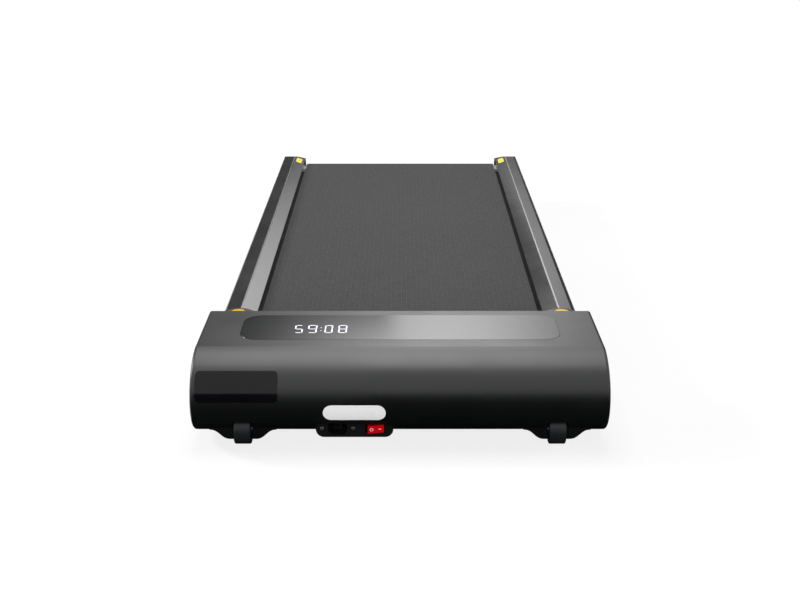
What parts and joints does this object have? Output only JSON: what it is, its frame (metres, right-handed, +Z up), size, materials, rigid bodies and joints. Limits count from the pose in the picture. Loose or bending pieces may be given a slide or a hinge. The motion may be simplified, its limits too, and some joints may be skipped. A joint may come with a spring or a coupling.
{
  "type": "walking pad treadmill",
  "caption": "Flat under-desk treadmill: motor hood with a display strip, belt between two side rails, mains socket and rocker switch under the hood's nose, and two transport wheels.",
  "frame": {"origin": "on the floor, at the centre of the outline", "axes": "+X to the right seen from the hood end, +Y from the motor hood towards the rear roller, +Z up"},
  "size_m": [0.53, 1.232, 0.1178],
  "materials": {
    "hood_plastic": "fine satin moulded grain",
    "lens_plastic": "smoked and polished",
    "cover_plastic": "black moulded grain",
    "boss_plastic": "satin moulded",
    "cap_plastic": "moulded",
    "rail_aluminium": "dark satin powder coat",
    "yellow_plastic": "moulded",
    "insert_plastic": "moulded",
    "belt_pvc": "fine woven-look surface",
    "deck_wood": "black phenolic-faced fibreboard",
    "cushion_rubber": "soft moulded",
    "guide_nylon": "light grey nylon",
    "frame_steel": "black powder coat",
    "zinc_steel": "zinc plated",
    "black_screws": "black oxide",
    "turned_steel": "turned and ground",
    "motor_paint": "smooth black enamel",
    "pulley_metal": "turned",
    "fan_plastic": "moulded nylon",
    "drive_rubber": "ribbed",
    "inlet_plastic": "moulded black nylon",
    "inlet_brass": "plated blades",
    "rocker_plastic": "polished red",
    "wheel_rubber": "solid moulded wheel",
    "board_laminate": "green laminate with parts",
    "heatsink_metal": "extruded fins",
    "lead_sheath": "cable sheath"
  },
  "bodies": {
    "frame": {"frame_tube_left": "frame_steel", "frame_tube_right": "frame_steel", "frame_cross_tubes": "frame_steel", "bay_plate_left": "frame_steel", "bay_plate_right": "frame_steel", "motor_tray": "frame_steel", "motor_cradle": "zinc_steel", "motor_straps": "zinc_steel", "motor_body": "motor_paint", "motor_hood": "hood_plastic", "display_lens": "lens_plastic", "display_module": "board_laminate", "belly_pan": "cover_plastic", "belly_pan_screws": "black_screws", "power_panel": "cover_plastic", "power_inlet": "inlet_plastic", "inlet_blades": "inlet_brass", "inlet_screws": "zinc_steel", "switch_bezel": "inlet_plastic", "front_axle": "turned_steel", "front_axle_bolts": "zinc_steel", "deck_board": "deck_wood", "deck_cushions": "cushion_rubber", "deck_screws": "black_screws", "walking_belt": "belt_pvc", "drive_belt": "drive_rubber", "belt_guides": "guide_nylon", "side_rail_left": "rail_aluminium", "side_rail_right": "rail_aluminium", "rail_clips": "cover_plastic", "rail_screws": "black_screws", "rail_boss_left": "boss_plastic", "rail_boss_right": "boss_plastic", "boss_plugs": "yellow_plastic", "boss_screws": "zinc_steel", "rear_cap_left": "cap_plastic", "rear_cap_right": "cap_plastic", "rear_inserts": "insert_plastic", "axle_bracket_left": "frame_steel", "axle_bracket_right": "frame_steel", "wheel_axles": "zinc_steel", "rubber_feet": "cushion_rubber", "foot_screws": "zinc_steel", "control_board": "board_laminate", "control_heatsink": "heatsink_metal", "wiring_loom": "lead_sheath"},
    "motor_rotor": {"motor_shaft": "turned_steel", "motor_pulley": "pulley_metal", "motor_fan": "fan_plastic"},
    "front_roller": {"front_roller": "turned_steel", "front_bearings": "turned_steel", "roller_pulley": "pulley_metal"},
    "rear_axle": {"rear_axle": "turned_steel"},
    "rear_roller": {"rear_roller": "turned_steel", "rear_bearings": "turned_steel"},
    "tension_bolt_left": {"tension_bolt_left": "zinc_steel"},
    "tension_bolt_right": {"tension_bolt_right": "zinc_steel"},
    "transport_wheel_left": {"transport_wheel_left": "wheel_rubber"},
    "transport_wheel_right": {"transport_wheel_right": "wheel_rubber"},
    "power_rocker": {"power_rocker": "rocker_plastic"}
  },
  "joints": [
    {"name": "front_roller_spin", "type": "hinge", "parent": "frame", "child": "front_roller", "pos_m": [0, -0.455, 0.0682], "axis": [1, 0, 0], "continuous": true},
    {"name": "motor_spin", "type": "hinge", "parent": "frame", "child": "motor_rotor", "pos_m": [0, -0.535, 0.066], "axis": [1, 0, 0], "continuous": true},
    {"name": "rear_axle_tension", "type": "slide", "parent": "frame", "child": "rear_axle", "axis": [0, 1, 0], "range_m": [-0.008, 0]},
    {"name": "rear_roller_spin", "type": "hinge", "parent": "rear_axle", "child": "rear_roller", "pos_m": [0, 0.5925, 0.0682], "axis": [1, 0, 0], "continuous": true},
    {"name": "tension_bolt_left_turn", "type": "hinge", "parent": "frame", "child": "tension_bolt_left", "pos_m": [-0.227, 0.5925, 0.0682], "axis": [0, -1, 0], "range_deg": [-2310, 0]},
    {"name": "tension_bolt_right_turn", "type": "hinge", "parent": "frame", "child": "tension_bolt_right", "pos_m": [0.227, 0.5925, 0.0682], "axis": [0, -1, 0], "range_deg": [-2310, 0]},
    {"name": "transport_wheel_left_spin", "type": "hinge", "parent": "frame", "child": "transport_wheel_left", "pos_m": [-0.201, -0.5934, 0.0203], "axis": [1, 0, 0], "continuous": true},
    {"name": "transport_wheel_right_spin", "type": "hinge", "parent": "frame", "child": "transport_wheel_right", "pos_m": [0.201, -0.5934, 0.0203], "axis": [1, 0, 0], "continuous": true},
    {"name": "power_rocker_tilt", "type": "hinge", "parent": "frame", "child": "power_rocker", "pos_m": [-0.0317, -0.5994, 0.0254], "axis": [0, 0, 1], "range_deg": [-24, 0]}
  ],
  "couplings": [
    {"joint": "rear_roller_spin", "follows": "front_roller_spin", "ratio": 1},
    {"joint": "motor_spin", "follows": "front_roller_spin", "ratio": 2.0127},
    {"joint": "tension_bolt_left_turn", "follows": "rear_axle_tension", "rad_per_m": 5026.5},
    {"joint": "tension_bolt_right_turn", "follows": "rear_axle_tension", "rad_per_m": 5026.5}
  ]
}
